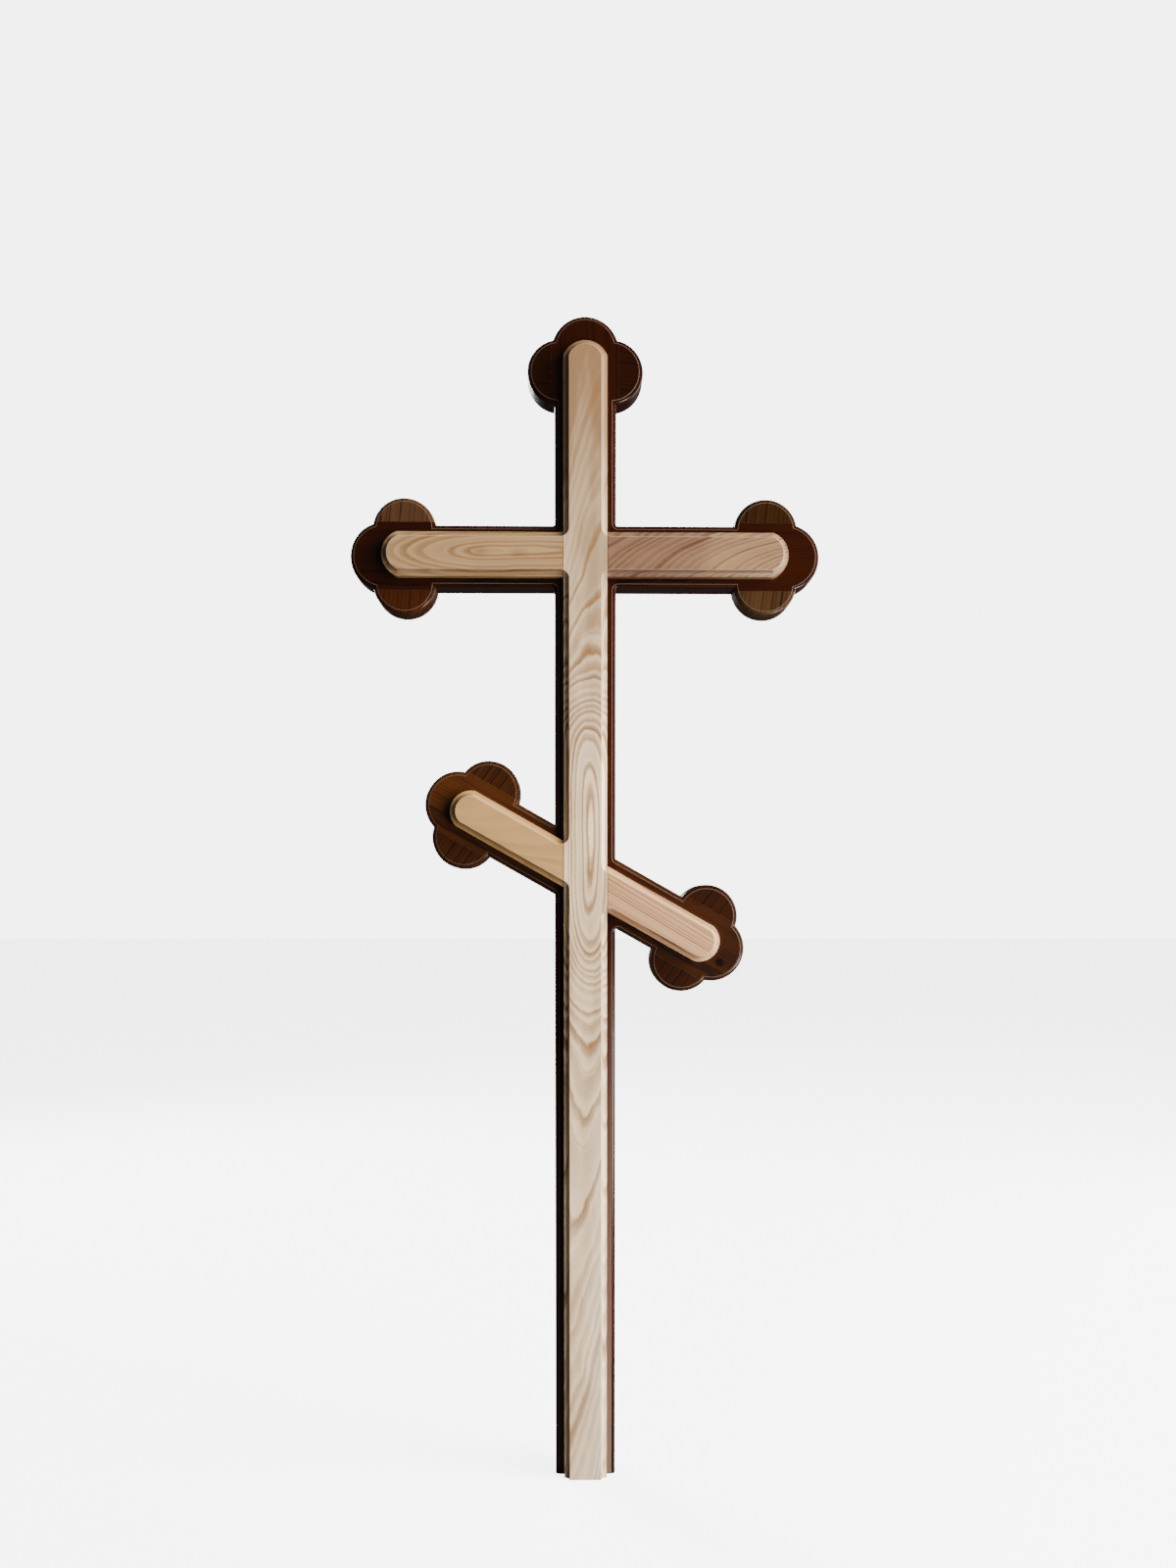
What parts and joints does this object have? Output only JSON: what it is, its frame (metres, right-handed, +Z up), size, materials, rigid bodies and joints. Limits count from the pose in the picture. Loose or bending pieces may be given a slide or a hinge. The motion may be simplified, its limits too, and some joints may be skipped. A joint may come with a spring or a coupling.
{
  "type": "wooden grave cross",
  "caption": "Orthodox wooden grave cross with a slanted lower bar, trefoil ends on a dark stained base and a paler moulded ash overlay; cut off flat at the ground.",
  "frame": {"origin": "middle of the base upright's cut foot at the ground, halfway through the base's thickness", "axes": "+Z up the upright, +X to the viewer's right along the level crossbar, -Y out of the front face"},
  "size_m": [0.84, 0.0693, 2.1],
  "materials": {
    "stained_pine": "dark brown stain under gloss lacquer",
    "pale_ash": "planed, clear satin lacquer",
    "golden_ash": "planed, clear satin lacquer",
    "pinkish_ash": "planed, clear satin lacquer"
  },
  "bodies": {
    "root": {"base_upright": "stained_pine", "base_crossbar": "stained_pine", "base_slanted_bar": "stained_pine", "lobe_top_left": "stained_pine", "lobe_top_right": "stained_pine", "lobe_left_upper": "stained_pine", "lobe_left_lower": "stained_pine", "lobe_right_upper": "stained_pine", "lobe_right_lower": "stained_pine", "lobe_slanted_left_upper": "stained_pine", "lobe_slanted_left_lower": "stained_pine", "lobe_slanted_right_upper": "stained_pine", "lobe_slanted_right_lower": "stained_pine", "overlay_upright": "pale_ash", "overlay_left_arm": "golden_ash", "overlay_right_arm": "pinkish_ash", "overlay_slanted_left_arm": "golden_ash", "overlay_slanted_right_arm": "pale_ash"}
  },
  "joints": []
}
